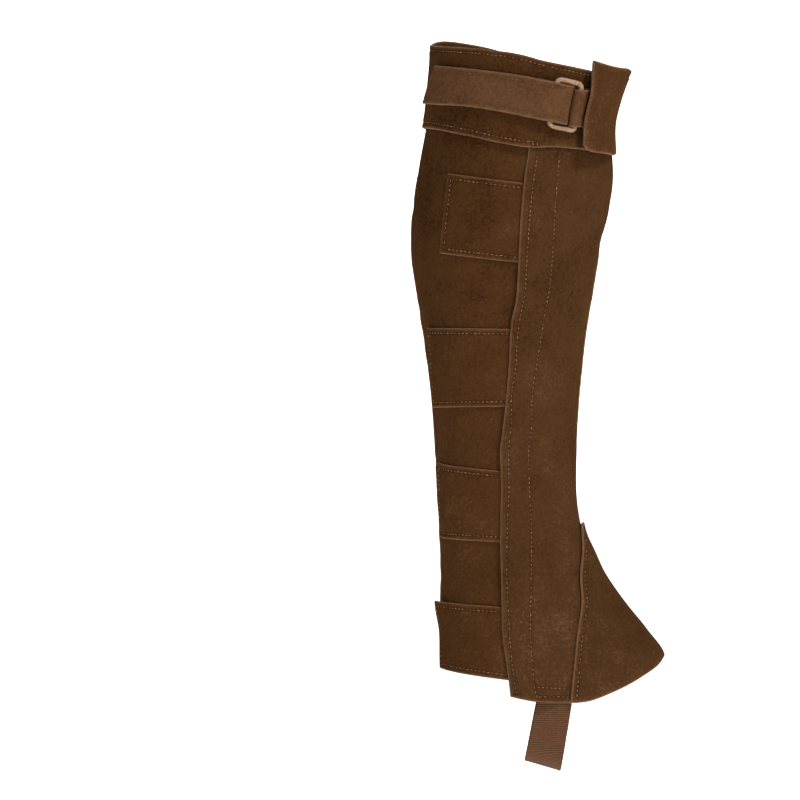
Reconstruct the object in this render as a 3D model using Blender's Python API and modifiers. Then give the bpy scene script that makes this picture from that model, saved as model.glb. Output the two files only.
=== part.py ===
"""Suede half chap for a right leg, filled out as worn.

Metres, +Z up. The origin is the middle of the leg hollow at the widest part of the calf,
+X points to the toe and -Y is the outer side of the leg, which carries the closing flap.
Every cloth piece is a grid laid on one leg form at its own height above it, then solidified.
"""

import bisect
import math

import bpy
from mathutils import Vector

MM = 0.001

# Walls and clearances, in millimetres
PANEL_WALL = 1.8
TAB_WALL = 1.4
BAND_WALL = 2.0
STRAP_WALL = 1.5
KEEPER_WALL = 1.4
WEBBING_WALL = 1.3
CLEAR = 0.4
PATCH_CLEAR = 0.6
SEAM_GAP = 0.4

# Closing flap: how far the back panel runs under the front one, and where the front one is down again
UNDERLAP = 17.0
FLAP_FLAT = 20.0
FLAP_DOWN = 32.0
FLAP_RISE = PANEL_WALL + TAB_WALL + 2 * CLEAR
FLAP_RISE_UNDER_BAND = PANEL_WALL + CLEAR
FIRST_TAB_TOP = 36.0
BAND_ZONE = 48.0

# Seams: the welt stands between the edges of two panels
WELT_WALL = 2.4
BACK_WELT_STANDS = 4.0
FRONT_WELT_STANDS = 2.2
BACK_SEAM_TURN = 200.0

# Ring, in the flat frame of its surface: distance round from the front, and height
RING_TURN = 66.7
RING_HEIGHT = 86.4
RING_WIDTH = 15.5
RING_LENGTH = 31.0
RING_CORNER = 3.0
RING_WIRE = 1.6
RING_LEAN = math.tan(math.radians(-2.0))
RING_SLOPE = math.sin(math.radians(12.0))

FOOT_STRAP_WIDTH = 22.6
FOOT_STRAP_DROP = 38.7
FOOT_STRAP_TILT = math.radians(16.3)
FOOT_STRAP_TOP = -283.0
FOOT_STRAP_HEM = -296.5
FOOT_STRAP_X_TOP = 31.0
FOOT_STRAP_X_BOTTOM = 23.7
SOLE_ROUNDNESS = 3.2
LOOP_STEPS = 22

SUEDE = (0.052, 0.024, 0.010)
SUEDE_LIGHT = (0.075, 0.036, 0.016)
RAW_EDGE = (0.200, 0.100, 0.050)
WEBBING = (0.125, 0.058, 0.026)
TAN_METAL = (0.330, 0.200, 0.110)


def chart(columns, rows):
    return dict(zip(columns.split(), zip(*rows)))


# The leg form is the outer face of the panels. Turn 0 is the shin, 90 the outer side, 180 the back.
LEG = chart(
    "height back front half_depth point",
    [
        (125, -46.0, 80.5, 56.0, 0.00),
        (109, -46.7, 77.8, 56.0, 0.00),
        (90, -48.8, 71.7, 55.0, 0.00),
        (75, -50.8, 68.2, 55.0, 0.00),
        (56, -54.0, 68.2, 55.5, 0.00),
        (38, -57.0, 68.7, 56.0, 0.00),
        (13, -59.8, 65.0, 56.0, 0.00),
        (0, -60.2, 60.8, 55.0, 0.00),
        (-13, -59.6, 58.7, 53.5, 0.00),
        (-38, -55.4, 53.8, 50.0, 0.00),
        (-64, -51.2, 49.6, 46.0, 0.00),
        (-87, -48.0, 47.1, 43.0, 0.00),
        (-109, -45.8, 45.9, 41.5, 0.00),
        (-134, -43.8, 45.4, 40.5, 0.00),
        (-160, -42.6, 45.1, 40.0, 0.00),
        (-179, -41.7, 47.3, 40.0, 0.02),
        (-190, -41.3, 50.3, 40.0, 0.06),
        (-198, -40.9, 54.1, 40.0, 0.10),
        (-214, -40.8, 61.7, 40.5, 0.19),
        (-230, -41.4, 72.6, 41.0, 0.27),
        (-250, -41.7, 88.6, 42.0, 0.33),
        (-266, -42.4, 99.6, 43.0, 0.36),
        (-297, -43.5, 101.0, 43.0, 0.36),
    ],
)

# Front panel's free edge, seen square on from the outer side
FLAP_EDGE = chart(
    "height across",
    [
        (125, 16.0),
        (60, 14.5),
        (38, 11.5),
        (6, 8.7),
        (-37, 6.4),
        (-53, 3.2),
        (-80, 1.9),
        (-111, -0.6),
        (-135, -3.2),
        (-154, -2.6),
        (-190, -3.1),
        (-215, -2.4),
        (-252, -1.5),
        (-271, 1.1),
        (-292, 3.4),
    ],
)

# Front seam between the front and inner panels, by its turn toward the inner side
FRONT_SEAM = chart(
    "height turn",
    [(125, -22), (45, -21.5), (15, -17), (-15, -13.5), (-60, -12), (-100, -14), (-135, -20), (-165, -23.5), (-205, -24)],
)

# Where the front panel ends under the instep piece; the inner panel ends at the same turns, mirrored
UNDER_INSTEP = chart(
    "height turn",
    [(-190, -24), (-198, -2), (-206, 20), (-214, 35), (-230, 50), (-250, 65), (-266, 73), (-297, 75)],
)

# Sewn edge of the instep piece
INSTEP_EDGE = chart(
    "height turn",
    [(-178, 11), (-183, 14), (-192, 23), (-198, 30), (-214, 45), (-230, 55.5), (-250, 70.2), (-266, 77.6), (-297, 80.3)],
)

# Top edges of the panels, hidden by the band
PANEL_TOP = chart(
    "turn height",
    [
        (-180, 122),
        (-150, 123.2),
        (-120, 118.6),
        (-95, 112.6),
        (-70, 107.4),
        (-45, 105.4),
        (-20, 105),
        (0, 104.5),
        (20, 103.5),
        (45, 104.5),
        (70, 109.5),
        (95, 115),
        (120, 119.5),
        (150, 121),
        (180, 122),
        (210, 123.5),
    ],
)

# Hems, seen square on from the side that carries them
BACK_HEM = chart("across height", [(-42.2, -268.5), (-39.7, -272), (-25, -275.4), (-12.8, -277.6), (2, -279.8), (20, -283)])
FRONT_HEM = chart("across height", [(3.2, -291.6), (10, -293.2), (18, -294.7), (30, -295.5), (52, -295.5)])
INNER_HEM = chart(
    "across height",
    [(-42, -270.5), (-38, -273.8), (-25, -276), (-12.8, -278.2), (1, -280.4), (12, -288), (25, -294), (52, -295.7)],
)
INSTEP_HEM = chart(
    "turn height",
    [(0, -266), (10, -267.8), (19, -271.1), (34, -277.2), (49, -284.7), (61, -290.5), (71, -294.6), (82, -295.9)],
)

# Knee band, from its end piece at the outer front, round the inner side and back over the flap
BAND = chart(
    "turn top bottom lift",
    [
        (54.5, 114.6, 60.0, 10.6),
        (52.5, 114.3, 57.8, 10.5),
        (49, 113.3, 56.4, 10.1),
        (44, 112.0, 55.7, 9.2),
        (38, 111.1, 55.4, 7.4),
        (30, 110.5, 55.0, 4.6),
        (20, 110.0, 54.4, 2.4),
        (10, 109.2, 54.4, 1.0),
        (0, 108.8, 54.8, 0.5),
        (-20, 108.8, 55.8, 0.6),
        (-45, 108.3, 57.5, 0.6),
        (-60, 108.7, 59.0, 0.6),
        (-72, 110.8, 60.2, 0.6),
        (-95, 117.0, 64.0, 0.6),
        (-120, 124.0, 67.5, 0.6),
        (-150, 127.2, 70.0, 0.6),
        (-180, 124.4, 71.5, 0.6),
        (-210, 123.1, 70.6, 0.6),
        (-240, 121.4, 66.2, 0.6),
        (-250, 120.0, 64.0, 0.5),
        (-258, 118.8, 62.2, 1.4),
        (-266, 117.0, 60.6, 2.6),
        (-276, 113.9, 59.0, 3.2),
        (-290, 111.0, 59.2, 3.1),
        (-303, 108.6, 58.4, 2.0),
        (-315, 106.6, 57.6, 0.9),
        (-330, 105.6, 57.0, 0.4),
    ],
)

BAND_END_LEAN = 3.5

# Strap edges, by turn on the outer side
STRAP = chart(
    "turn top bottom",
    [(180, 111.5, 86.9), (150, 110.5, 86.0), (125, 108.6, 85.0), (100, 105.5, 81.2), (85, 103.0, 77.9), (62, 98.7, 73.0)],
)
STRAP_ROOT = 150.0
STRAP_TIP = 157.6
STRAP_TIP_SLANT = 12.5
STRAP_FOLD = 0.4
STRAP_SETTLED = 30.0
STRAP_TIP_FREE = 14.0
STRAP_TIP_LIFT = 0.4
FOLD_STEPS = 6

KEEPER_TOP = 97.0
KEEPER_BOTTOM = 72.2
KEEPER_LOOSE = 0.9
KEEPER_ROOT = 41.0

# Stitched tabs on the back panel, with their front ends under the flap: corners seen from the outer side
TABS = chart(
    "top_back_x top_back_z top_front_x top_front_z low_front_x low_front_z low_back_x low_back_z stand",
    [
        (-36.3, 42.0, 25.9, 34.0, 22.0, -16.0, -41.6, -8.3, 0.0),
        (-49.0, -56.3, 17.6, -57.2, 14.4, -106.2, -45.3, -106.9, 0.4),
        (-42.2, -142.7, 11.8, -149.5, 10.8, -193.6, -41.0, -190.0, 0.0),
        (-41.0, -231.0, 11.8, -235.6, 14.5, -282.6, -40.5, -273.6, 3.0),
    ],
)

# Wear patch on the inner side
PATCH = chart(
    "height rear fore",
    [
        (36, -8.0, 9.0),
        (34.5, -15.5, 19.5),
        (31, -26.5, 31.0),
        (25, -35.8, 39.0),
        (16, -41.0, 44.8),
        (5, -42.9, 47.2),
        (-19, -42.2, 44.8),
        (-69, -39.0, 37.1),
        (-130, -34.2, 28.8),
        (-161, -32.0, 23.2),
        (-171, -26.2, 16.0),
        (-176, -19.0, 8.0),
        (-178, -13.0, -0.5),
    ],
)


def clear_scene():
    for thing in list(bpy.data.objects):
        bpy.data.objects.remove(thing, do_unlink=True)


def read(rows, column, at):
    """A smooth curve through one column of a chart, against the chart's first column."""
    keys, values = next(iter(rows.values())), rows[column]
    if keys[0] > keys[-1]:
        keys, values = keys[::-1], values[::-1]
    if at <= keys[0]:
        return values[0]
    if at >= keys[-1]:
        return values[-1]
    i = bisect.bisect_right(keys, at) - 1

    def slope(k):
        low, high = max(k - 1, 0), min(k + 1, len(keys) - 1)
        return (values[high] - values[low]) / (keys[high] - keys[low])

    span = keys[i + 1] - keys[i]
    t = (at - keys[i]) / span
    start = (1 + 2 * t) * (1 - t) ** 2 * values[i] + t * (1 - t) ** 2 * span * slope(i)
    end = t * t * (3 - 2 * t) * values[i + 1] + t * t * (t - 1) * span * slope(i + 1)
    return start + end


def ease(low, high, x):
    t = min(max((x - low) / (high - low), 0.0), 1.0)
    return t * t * (3 - 2 * t)


def mix(a, b, t):
    return a + (b - a) * t


def steps(count):
    return [i / count for i in range(count + 1)]


def rounded_steps(count):
    """Closer together at both ends, where an outline is round."""
    return [(1 - math.cos(math.pi * i / count)) / 2 for i in range(count + 1)]


def form(turn, height):
    """A point of the leg form, in millimetres."""
    back, front = read(LEG, "back", height), read(LEG, "front", height)
    depth, point = read(LEG, "half_depth", height), read(LEG, "point", height)
    angle = math.radians(turn)
    forward = (1 + math.cos(angle)) / 2
    side = math.sin(angle) * (1 - point * forward) / (1 - 0.45 * point)
    return Vector((mix(back, front, forward), -depth * side, height))


def spot(turn, height, out=0.0):
    """A point that stands out from the leg form by a distance, in millimetres."""
    round_it = form(turn + 0.5, height) - form(turn - 0.5, height)
    up = form(turn, height + 0.5) - form(turn, height - 0.5)
    return form(turn, height) + up.cross(round_it).normalized() * out


def turn_at(across, height, side=1):
    """The turn of the form's point that lies at a distance across, on the outer (1) or inner (-1) side."""
    back, front = read(LEG, "back", height), read(LEG, "front", height)
    cosine = 2 * (across - back) / (front - back) - 1
    return side * math.degrees(math.acos(min(max(cosine, -1.0), 1.0)))


def degrees_per_mm(turn, height):
    return 1 / (form(turn + 0.5, height) - form(turn - 0.5, height)).length


def moved(turn, height, distance):
    """The turn after going a distance toward larger turns round the form."""
    pieces = 6
    for _ in range(pieces):
        turn += distance / pieces * degrees_per_mm(turn, height)
    return turn


def flap_edge(height):
    return turn_at(read(FLAP_EDGE, "across", height), height)


def flap_distance(turn, height):
    """How far a point of the front panel is from the panel's free edge, round the form."""
    edge = flap_edge(height)
    return (edge - turn) / degrees_per_mm((edge + turn) / 2, height)


def flap_rise(turn, height):
    """How far the front panel stands off the form where it lies on the back panel and the tabs."""
    full = mix(FLAP_RISE, FLAP_RISE_UNDER_BAND, ease(FIRST_TAB_TOP, BAND_ZONE, height))
    return full * (1 - ease(FLAP_FLAT, FLAP_DOWN, flap_distance(turn, height)))


def half_seam(turn, height):
    return (WELT_WALL / 2 + SEAM_GAP) * degrees_per_mm(turn, height)


def back_seam_edge(height):
    return BACK_SEAM_TURN - half_seam(BACK_SEAM_TURN, height)


def inner_back_edge(height):
    return BACK_SEAM_TURN - 360 + half_seam(BACK_SEAM_TURN, height)


def front_panel_edge(height):
    if height > -190:
        seam = read(FRONT_SEAM, "turn", height)
        return seam + half_seam(seam, height)
    return read(UNDER_INSTEP, "turn", height) + half_seam(0, height)


def inner_front_edge(height):
    seam = read(FRONT_SEAM, "turn", height)
    seam -= half_seam(seam, height)
    return min(seam, -read(UNDER_INSTEP, "turn", height)) if height < -190 else seam


def hem(rows, side):
    """A hem chart that is read across the panel, made ready to be read by turn."""
    pairs = [(turn_at(x, z, side), z) for x, z in zip(rows["across"], rows["height"])]
    return chart("turn height", sorted(pairs))


def laid(turns, top, bottom, out, across_steps, down_steps):
    """A grid on the form between two side edges (by height) and a top and a bottom edge (by turn)."""
    start, end = turns
    grid = []
    for v in down_steps:
        line = []
        for u in across_steps:
            height = mix(top(0), bottom(0), v)
            for _ in range(10):
                turn = mix(start(height), end(height), u)
                height = mix(top(turn), bottom(turn), v)
            line.append(spot(turn, height, out(turn, height)))
        grid.append(line)
    return grid


def finish_of(name, colour, roughness, metallic=0.0):
    material = bpy.data.materials.new(name)
    material.use_nodes = True
    shader = material.node_tree.nodes["Principled BSDF"]
    shader.inputs["Base Color"].default_value = (*colour, 1.0)
    shader.inputs["Roughness"].default_value = roughness
    shader.inputs["Metallic"].default_value = metallic
    return material


def place(thing, material, collection, holder):
    collection.objects.link(thing)
    thing.data.materials.append(material)
    thing.parent = holder
    return thing


def cloth(name, grid, wall, look, middle=False):
    """One wall of cloth from a grid of points in millimetres. The grid is its inner face, or its middle."""
    wide = len(grid[0])
    points = [p * MM for line in grid for p in line]
    faces = []
    for j in range(len(grid) - 1):
        for i in range(wide - 1):
            a = j * wide + i
            faces.append((a, a + wide, a + wide + 1, a + 1))
    mesh = bpy.data.meshes.new(name)
    mesh.from_pydata(points, [], faces)
    mesh.shade_smooth()
    thing = place(bpy.data.objects.new(name, mesh), *look)
    solid = thing.modifiers.new("wall", "SOLIDIFY")
    solid.thickness = wall * MM
    solid.offset = 0.0 if middle else 1.0
    return thing


def back_panel(look):
    by_turn = hem(BACK_HEM, 1)
    grid = laid(
        (back_seam_edge, lambda z: moved(flap_edge(z), z, -UNDERLAP)),
        lambda turn: read(PANEL_TOP, "height", turn),
        lambda turn: read(by_turn, "height", turn),
        lambda turn, z: -PANEL_WALL,
        steps(15),
        steps(26),
    )
    return cloth("outer_back_panel", grid, PANEL_WALL, look)


def front_panel(look):
    by_turn = hem(FRONT_HEM, 1)
    grid = laid(
        (flap_edge, front_panel_edge),
        lambda turn: read(PANEL_TOP, "height", turn),
        lambda turn: read(by_turn, "height", turn),
        lambda turn, z: flap_rise(turn, z) - PANEL_WALL,
        steps(14),
        steps(27),
    )
    return cloth("outer_front_panel", grid, PANEL_WALL, look)


def inner_panel(look):
    by_turn = hem(INNER_HEM, -1)
    grid = laid(
        (inner_front_edge, inner_back_edge),
        lambda turn: read(PANEL_TOP, "height", max(turn, -180)),
        lambda turn: read(by_turn, "height", turn),
        lambda turn, z: -PANEL_WALL,
        steps(16),
        steps(27),
    )
    return cloth("inner_panel", grid, PANEL_WALL, look)


def instep_piece(look):
    grid = laid(
        (lambda z: read(INSTEP_EDGE, "turn", z), lambda z: -read(INSTEP_EDGE, "turn", z)),
        lambda turn: -181.0 - 0.08 * abs(turn),
        lambda turn: read(INSTEP_HEM, "height", abs(turn)),
        lambda turn, z: CLEAR + 0.4 * ease(-188, -180, z),
        steps(22),
        steps(11),
    )
    return cloth("instep_piece", grid, PANEL_WALL, look)


def knee_band(look):
    first, last = BAND["turn"][0], BAND["turn"][-1]
    near_end = [first, 53, 51, 48, 44.5, 41, 37, 32]
    rest = [mix(26, last, t) for t in steps(44)]
    grid = []
    for v in steps(4):
        line = []
        for turn in near_end + rest:
            height = mix(read(BAND, "top", turn), read(BAND, "bottom", turn), v)
            lean = BAND_END_LEAN * ease(92, 114, height) * ease(35, first, turn)
            line.append(spot(turn + lean, height, read(BAND, "lift", turn)))
        grid.append(line)
    return cloth("knee_band", grid, BAND_WALL, look)


def band_face(turn):
    """How far the outer face of the band is from the form, on the outer side."""
    return read(BAND, "lift", turn - 360) + BAND_WALL


def folded(at, low, high, way):
    """Points of a half-round fold from a lower layer to an upper one; way is 1 for a fold that bulges back."""
    radius, middle = (high - low) / 2, (high + low) / 2
    angles = [math.pi * i / FOLD_STEPS - math.pi / 2 for i in range(1, FOLD_STEPS)]
    return [(at + way * radius * math.cos(a), middle + radius * math.sin(a)) for a in angles]


def ring_frame(along, up, out):
    """A point near the ring: along runs back from its middle, up is height, and both lean with its bars."""
    height = RING_HEIGHT + up
    turn = moved(RING_TURN, RING_HEIGHT, along - up * RING_LEAN)
    return spot(turn, height, band_face(turn) + out)


BAR_OUT = CLEAR + STRAP_WALL + CLEAR + RING_WIRE
OVER_BAR = BAR_OUT + RING_WIRE + CLEAR


def strap(look):
    """Doubled: its root lies on the band, it folds through the ring and comes back to a free tip."""
    root = (STRAP_ROOT - RING_TURN) / degrees_per_mm(100, RING_HEIGHT)
    tip = (STRAP_TIP - RING_TURN) / degrees_per_mm(100, RING_HEIGHT)
    low, high = CLEAR + STRAP_WALL / 2, OVER_BAR + STRAP_WALL / 2
    resting = 2 * CLEAR + 1.5 * STRAP_WALL
    lower = [(mix(root, STRAP_FOLD, t), low) for t in steps(13)]
    upper = []
    for t in steps(17):
        along = mix(STRAP_FOLD, tip, t)
        settle = ease(RING_WIDTH / 2 + 2 * RING_WIRE, STRAP_SETTLED, along)
        lifted = STRAP_TIP_LIFT * ease(tip - STRAP_TIP_FREE, tip, along)
        upper.append((along, mix(high, resting, settle) + lifted))
    route = lower + folded(STRAP_FOLD, low, high, -1) + upper
    grid = []
    for v in steps(2):
        line = []
        for number, (along, out) in enumerate(route):
            if number >= len(lower):
                along += STRAP_TIP_SLANT * (v - 0.5) * ease(tip - 30, tip, along)
            turn = moved(RING_TURN, RING_HEIGHT, along)
            height = mix(read(STRAP, "top", turn), read(STRAP, "bottom", turn), v)
            line.append(ring_frame(along, height - RING_HEIGHT, out))
        grid.append(line)
    return cloth("strap", grid, STRAP_WALL, look, middle=True)


def ring_keeper(look):
    """A short strip folded round the ring's front bar, with both ends under the band's end piece."""
    bar = -RING_WIDTH / 2 + KEEPER_LOOSE
    end = (KEEPER_ROOT - RING_TURN) / degrees_per_mm(50, RING_HEIGHT)
    low, high = CLEAR + KEEPER_WALL / 2, OVER_BAR + KEEPER_WALL / 2
    below = [(mix(end, bar, t), low) for t in steps(5)]
    tucked = 2 * CLEAR + 1.5 * KEEPER_WALL
    above = [(mix(bar, end, t), mix(high, tucked, ease(0.05, 0.5, t))) for t in steps(6)]
    grid = []
    for v in steps(2):
        height = mix(KEEPER_TOP, KEEPER_BOTTOM, v)
        route = below + folded(bar, low, high, 1) + above
        grid.append([ring_frame(along, height - RING_HEIGHT, out) for along, out in route])
    return cloth("ring_keeper", grid, KEEPER_WALL, look, middle=True)


def ring(look):
    """A rectangular loop of wire with round corners, bent a little with the band."""
    half_wide, half_long = RING_WIDTH / 2, RING_LENGTH / 2
    corners = [(1, 1, 0), (-1, 1, 90), (-1, -1, 180), (1, -1, 270)]
    route = []
    for side, end, first in corners:
        for step in range(4):
            angle = math.radians(first + 30 * step)
            along = side * (half_wide - RING_CORNER) + RING_CORNER * math.cos(angle)
            up = end * (half_long - RING_CORNER) + RING_CORNER * math.sin(angle)
            route.append((along, up + along * RING_SLOPE))
        if side == end:
            continue
        route += [(side * half_wide, end * t + side * half_wide * RING_SLOPE) for t in (8.0, 0.0, -8.0)]
    curve = bpy.data.curves.new("ring", "CURVE")
    curve.dimensions = "3D"
    curve.bevel_depth = RING_WIRE * MM
    curve.bevel_resolution = 2
    loop = curve.splines.new("POLY")
    loop.points.add(len(route) - 1)
    for point, (along, up) in zip(loop.points, route):
        point.co = (*(ring_frame(along, up, BAR_OUT) * MM), 1.0)
    loop.use_cyclic_u = True
    return place(bpy.data.objects.new("ring", curve), *look)


def tab(number, look):
    get = {name: values[number] for name, values in TABS.items()}
    grid = []
    for v in steps(5):
        line = []
        for u in steps(8):
            back = (mix(get["top_back_x"], get["low_back_x"], v), mix(get["top_back_z"], get["low_back_z"], v))
            front = (mix(get["top_front_x"], get["low_front_x"], v), mix(get["top_front_z"], get["low_front_z"], v))
            start = min(turn_at(back[0], back[1]), 176.0)
            height = mix(back[1], front[1], u)
            turn = mix(start, turn_at(front[0], front[1]), u)
            stand = get["stand"] * (1 - ease(0, 0.3, u)) * (1 - 0.85 * ease(0, 0.5, v))
            line.append(spot(turn, height, CLEAR + stand))
        grid.append(line)
    return cloth(f"tab_{number + 1}", grid, TAB_WALL, look)


def wear_patch(look):
    top, bottom = PATCH["height"][0], PATCH["height"][-1]
    grid = []
    for v in rounded_steps(22):
        height = mix(top, bottom, v)
        fore = turn_at(read(PATCH, "fore", height), height, -1)
        rear = turn_at(read(PATCH, "rear", height), height, -1)
        grid.append([spot(mix(fore, rear, u), height, PATCH_CLEAR) for u in steps(12)])
    return cloth("wear_patch", grid, TAB_WALL, look)


def welt(name, seam, top, bottom, stands, look):
    """A strip sewn in a seam, its raw edge standing out of it; it is flush under the band."""
    grid = []
    for t in steps(30):
        height = mix(top, bottom, t)
        shown = ease(BAND_ZONE, BAND_ZONE - 8, height) * ease(bottom + 6, bottom + 20, height)
        grid.append([spot(seam(height), height, out) for out in (-PANEL_WALL, mix(-CLEAR, stands, shown))])
    return cloth(name, grid, WELT_WALL, look, middle=True)


def foot_strap(look):
    """A loop of webbing under the shoe: both ends lie inside the hems."""
    inside = -PANEL_WALL - CLEAR - WEBBING_WALL
    sewn = [mix(FOOT_STRAP_TOP, FOOT_STRAP_HEM, t) for t in steps(2)]
    grid = []
    for v in steps(2):
        aside = (v - 0.5) * FOOT_STRAP_WIDTH
        outer, inner = [
            [spot(turn_at(FOOT_STRAP_X_TOP + aside, height, side), height, inside) for height in sewn]
            for side in (1, -1)
        ]
        loop = []
        for i in range(1, LOOP_STEPS):
            angle = math.pi * i / LOOP_STEPS
            swing = math.copysign(abs(math.cos(angle)) ** (2 / SOLE_ROUNDNESS), math.cos(angle))
            fall = math.sin(angle) ** (2 / SOLE_ROUNDNESS)
            x = mix(outer[-1].x, FOOT_STRAP_X_BOTTOM + aside, fall)
            y = mix(inner[-1].y, outer[-1].y, (swing + 1) / 2)
            drop = FOOT_STRAP_DROP + math.tan(FOOT_STRAP_TILT) * aside
            loop.append(Vector((x, y, FOOT_STRAP_HEM - drop * fall)))
        grid.append(outer + loop + inner[::-1])
    return cloth("foot_strap", grid[::-1], WEBBING_WALL, look)


def main():
    clear_scene()
    collection = bpy.data.collections.new("half_chap")
    bpy.context.scene.collection.children.link(collection)
    leg = bpy.data.objects.new("half_chap", None)
    collection.objects.link(leg)
    suede = (finish_of("suede", SUEDE, 0.95), collection, leg)
    light = (finish_of("light_suede", SUEDE_LIGHT, 0.9), collection, leg)
    raw = (finish_of("raw_edge", RAW_EDGE, 0.9), collection, leg)
    webbing = (finish_of("webbing", WEBBING, 0.8), collection, leg)
    metal = (finish_of("tan_ring", TAN_METAL, 0.45), collection, leg)
    back_panel(suede)
    front_panel(suede)
    inner_panel(suede)
    instep_piece(suede)
    knee_band(suede)
    for number in range(4):
        tab(number, suede)
    wear_patch(suede)
    welt("back_welt", lambda z: BACK_SEAM_TURN, 120.0, -271.0, BACK_WELT_STANDS, raw)
    welt("front_welt", lambda z: read(FRONT_SEAM, "turn", z), 106.0, -197.0, FRONT_WELT_STANDS, raw)
    strap(light)
    ring_keeper(light)
    ring(metal)
    foot_strap(webbing)


main()
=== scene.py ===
import bisect
import math
import random

import bpy
from mathutils import Matrix, Vector, noise
from mathutils.bvhtree import BVHTree
from mathutils.kdtree import KDTree


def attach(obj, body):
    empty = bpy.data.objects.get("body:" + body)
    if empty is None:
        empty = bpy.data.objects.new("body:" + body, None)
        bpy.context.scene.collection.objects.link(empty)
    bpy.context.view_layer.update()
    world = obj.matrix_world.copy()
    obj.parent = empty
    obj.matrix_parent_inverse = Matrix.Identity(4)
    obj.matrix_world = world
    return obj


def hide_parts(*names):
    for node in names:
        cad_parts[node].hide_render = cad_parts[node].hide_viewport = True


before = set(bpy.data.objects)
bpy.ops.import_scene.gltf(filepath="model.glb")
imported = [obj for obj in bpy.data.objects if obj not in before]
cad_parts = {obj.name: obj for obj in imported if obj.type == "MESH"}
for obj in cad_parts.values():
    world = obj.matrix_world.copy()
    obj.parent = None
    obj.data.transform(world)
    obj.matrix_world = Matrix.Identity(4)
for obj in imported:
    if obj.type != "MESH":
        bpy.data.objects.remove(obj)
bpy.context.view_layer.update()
mm = 0.001
print("frame loaded:", len(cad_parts), "nodes")


# the leg form is in millimetres, from the same charts as the solids


def chart(columns, rows):
    return dict(zip(columns.split(), zip(*rows)))


def mix(a, b, t):
    return a + (b - a) * t


def ease(low, high, x):
    t = min(max((x - low) / (high - low), 0.0), 1.0)
    return t * t * (3 - 2 * t)


# a smooth curve through one column of a chart
def read(rows, column, at):
    keys, values = next(iter(rows.values())), rows[column]
    if keys[0] > keys[-1]:
        keys, values = keys[::-1], values[::-1]
    if at <= keys[0]:
        return values[0]
    if at >= keys[-1]:
        return values[-1]
    i = bisect.bisect_right(keys, at) - 1

    def slope(k):
        low, high = max(k - 1, 0), min(k + 1, len(keys) - 1)
        return (values[high] - values[low]) / (keys[high] - keys[low])

    span = keys[i + 1] - keys[i]
    t = (at - keys[i]) / span
    start = (1 + 2 * t) * (1 - t) ** 2 * values[i] + t * (1 - t) ** 2 * span * slope(i)
    end = t * t * (3 - 2 * t) * values[i + 1] + t * t * (t - 1) * span * slope(i + 1)
    return start + end


# a curve worked out once, then only looked up
def lookup(curve, low, high, step=0.5):
    values = [curve(low + step * i) for i in range(int((high - low) / step) + 2)]

    def at(x):
        place = min(max((x - low) / step, 0.0), len(values) - 1.001)
        i = int(place)
        return values[i] + (values[i + 1] - values[i]) * (place - i)

    return at


def byHeight(rows, column):
    return lookup(lambda z: read(rows, column, z), -345.0, 135.0)


def overHeights(curve):
    return lookup(curve, -300.0, 130.0)


leg = chart(
    "height back front halfDepth point",
    [
        (125, -46, 80.5, 56, 0), (109, -46.7, 77.8, 56, 0), (90, -48.8, 71.7, 55, 0),
        (75, -50.8, 68.2, 55, 0), (56, -54, 68.2, 55.5, 0), (38, -57, 68.7, 56, 0),
        (13, -59.8, 65, 56, 0), (0, -60.2, 60.8, 55, 0), (-13, -59.6, 58.7, 53.5, 0),
        (-38, -55.4, 53.8, 50, 0), (-64, -51.2, 49.6, 46, 0), (-87, -48, 47.1, 43, 0),
        (-109, -45.8, 45.9, 41.5, 0), (-134, -43.8, 45.4, 40.5, 0), (-160, -42.6, 45.1, 40, 0),
        (-179, -41.7, 47.3, 40, 0.02), (-190, -41.3, 50.3, 40, 0.06), (-198, -40.9, 54.1, 40, 0.1),
        (-214, -40.8, 61.7, 40.5, 0.19), (-230, -41.4, 72.6, 41, 0.27), (-250, -41.7, 88.6, 42, 0.33),
        (-266, -42.4, 99.6, 43, 0.36), (-297, -43.5, 101, 43, 0.36),
    ],
)
legBack, legFront = byHeight(leg, "back"), byHeight(leg, "front")
legDepth, legPoint = byHeight(leg, "halfDepth"), byHeight(leg, "point")

flapEdgeLine = chart(
    "height across",
    [
        (125, 16), (60, 14.5), (38, 11.5), (6, 8.7), (-37, 6.4), (-53, 3.2), (-80, 1.9), (-111, -0.6),
        (-135, -3.2), (-154, -2.6), (-190, -3.1), (-215, -2.4), (-252, -1.5), (-271, 1.1), (-292, 3.4),
    ],
)
flapEdgeAcross = byHeight(flapEdgeLine, "across")

frontSeamLine = chart(
    "height turn",
    [
        (125, -22), (45, -21.5), (15, -17), (-15, -13.5), (-60, -12), (-100, -14), (-135, -20),
        (-165, -23.5), (-205, -24),
    ],
)
frontSeamTurn = byHeight(frontSeamLine, "turn")

underInstepLine = chart(
    "height turn",
    [(-190, -24), (-198, -2), (-206, 20), (-214, 35), (-230, 50), (-250, 65), (-266, 73), (-297, 75)],
)
underInstepTurn = byHeight(underInstepLine, "turn")

instepEdgeLine = chart(
    "height turn",
    [
        (-178, 11), (-183, 14), (-192, 23), (-198, 30), (-214, 45), (-230, 55.5), (-250, 70.2),
        (-266, 77.6), (-297, 80.3),
    ],
)
instepEdgeTurn = byHeight(instepEdgeLine, "turn")

panelTopLine = chart(
    "turn height",
    [
        (-180, 122), (-150, 123.2), (-120, 118.6), (-95, 112.6), (-70, 107.4), (-45, 105.4), (-20, 105),
        (0, 104.5), (20, 103.5), (45, 104.5), (70, 109.5), (95, 115), (120, 119.5), (150, 121),
        (180, 122), (210, 123.5),
    ],
)
panelTop = lookup(lambda turn: read(panelTopLine, "height", turn), -185.0, 215.0)

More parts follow.
